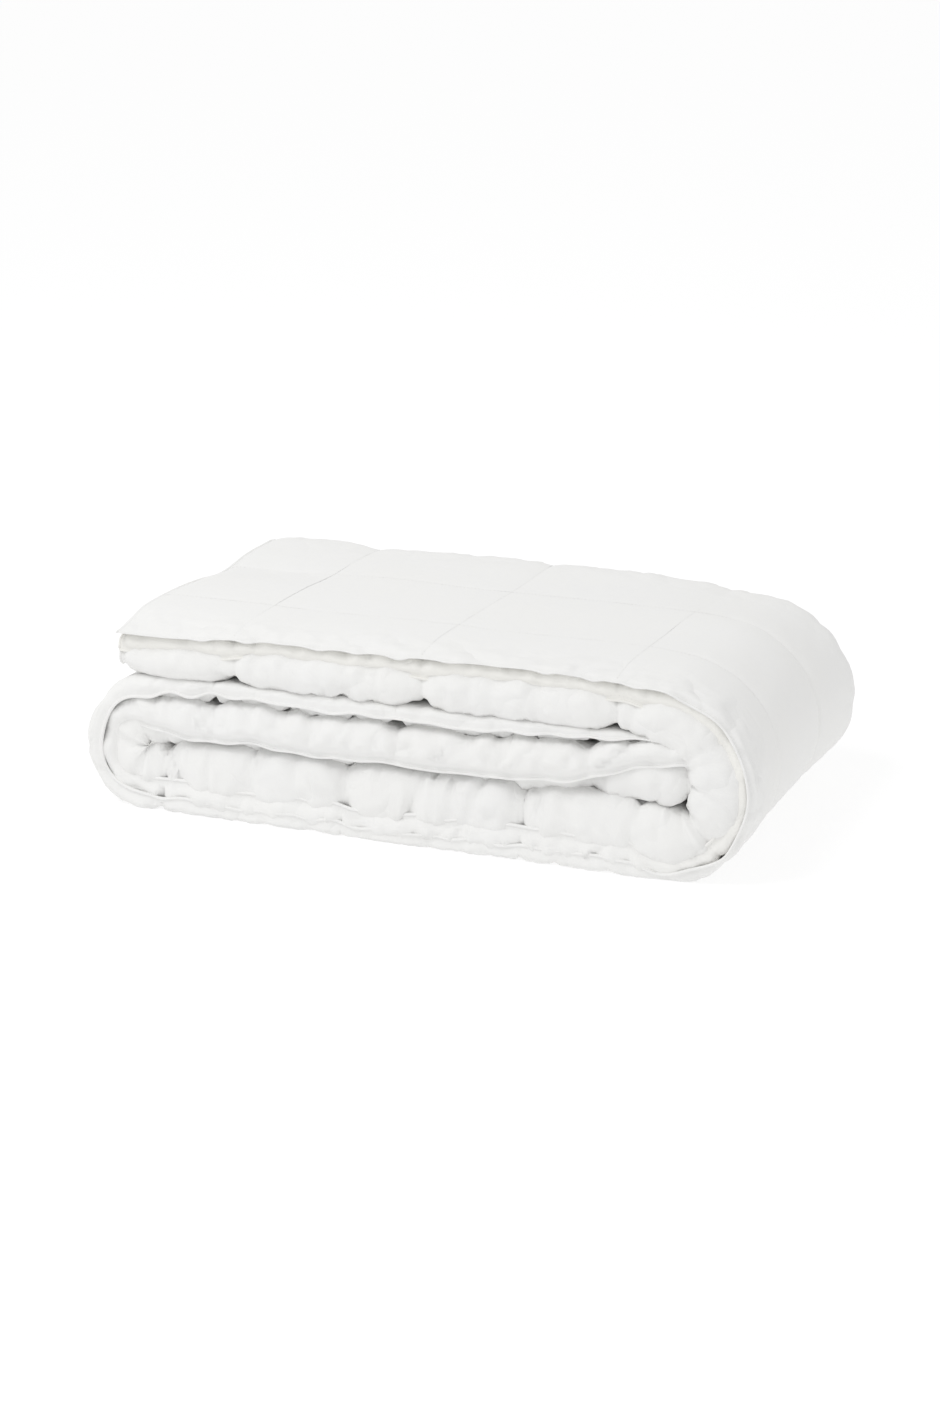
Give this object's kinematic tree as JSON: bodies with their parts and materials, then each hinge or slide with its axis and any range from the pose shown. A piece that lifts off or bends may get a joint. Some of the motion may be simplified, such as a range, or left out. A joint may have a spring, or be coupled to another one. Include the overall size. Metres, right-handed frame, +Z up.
{
  "type": "folded duvet",
  "caption": "White cotton duvet, folded in four along its length and rolled into a flat packet, with quilted rows of filling between two cloths.",
  "frame": {"origin": "centre of the packet's footprint, on the surface that it lies on", "axes": "+X along the packet's width, towards the loop that joins its top and bottom passes; +Y to the back, where the four plies are folded, away from the two sewn edges; +Z up"},
  "size_m": [0.709, 0.3838, 0.1876],
  "materials": {
    "face_cotton": "white cotton percale, matt with a faint sheen",
    "back_cotton": "white cotton percale, matt",
    "piping_cotton": "white cotton, bias cut around a cord",
    "loose_fill": "soft loose down and fibre",
    "wall_tape": "plain woven tape"
  },
  "bodies": {
    "root": {"casing_face": "face_cotton", "casing_back": "back_cotton", "fill_row_01": "loose_fill", "fill_row_02": "loose_fill", "fill_row_03": "loose_fill", "fill_row_04": "loose_fill", "fill_row_05": "loose_fill", "fill_row_06": "loose_fill", "fill_row_07": "loose_fill", "fill_row_08": "loose_fill", "fill_row_09": "loose_fill", "fill_row_10": "loose_fill", "fill_row_11": "loose_fill", "cross_wall_01": "wall_tape", "cross_wall_02": "wall_tape", "cross_wall_03": "wall_tape", "cross_wall_04": "wall_tape", "cross_wall_05": "wall_tape", "cross_wall_06": "wall_tape", "cross_wall_07": "wall_tape", "cross_wall_08": "wall_tape", "cross_wall_09": "wall_tape", "cross_wall_10": "wall_tape", "side_piping_outer": "piping_cotton", "side_piping_inner": "piping_cotton", "end_piping_top": "piping_cotton", "end_piping_inside": "piping_cotton"}
  },
  "joints": []
}
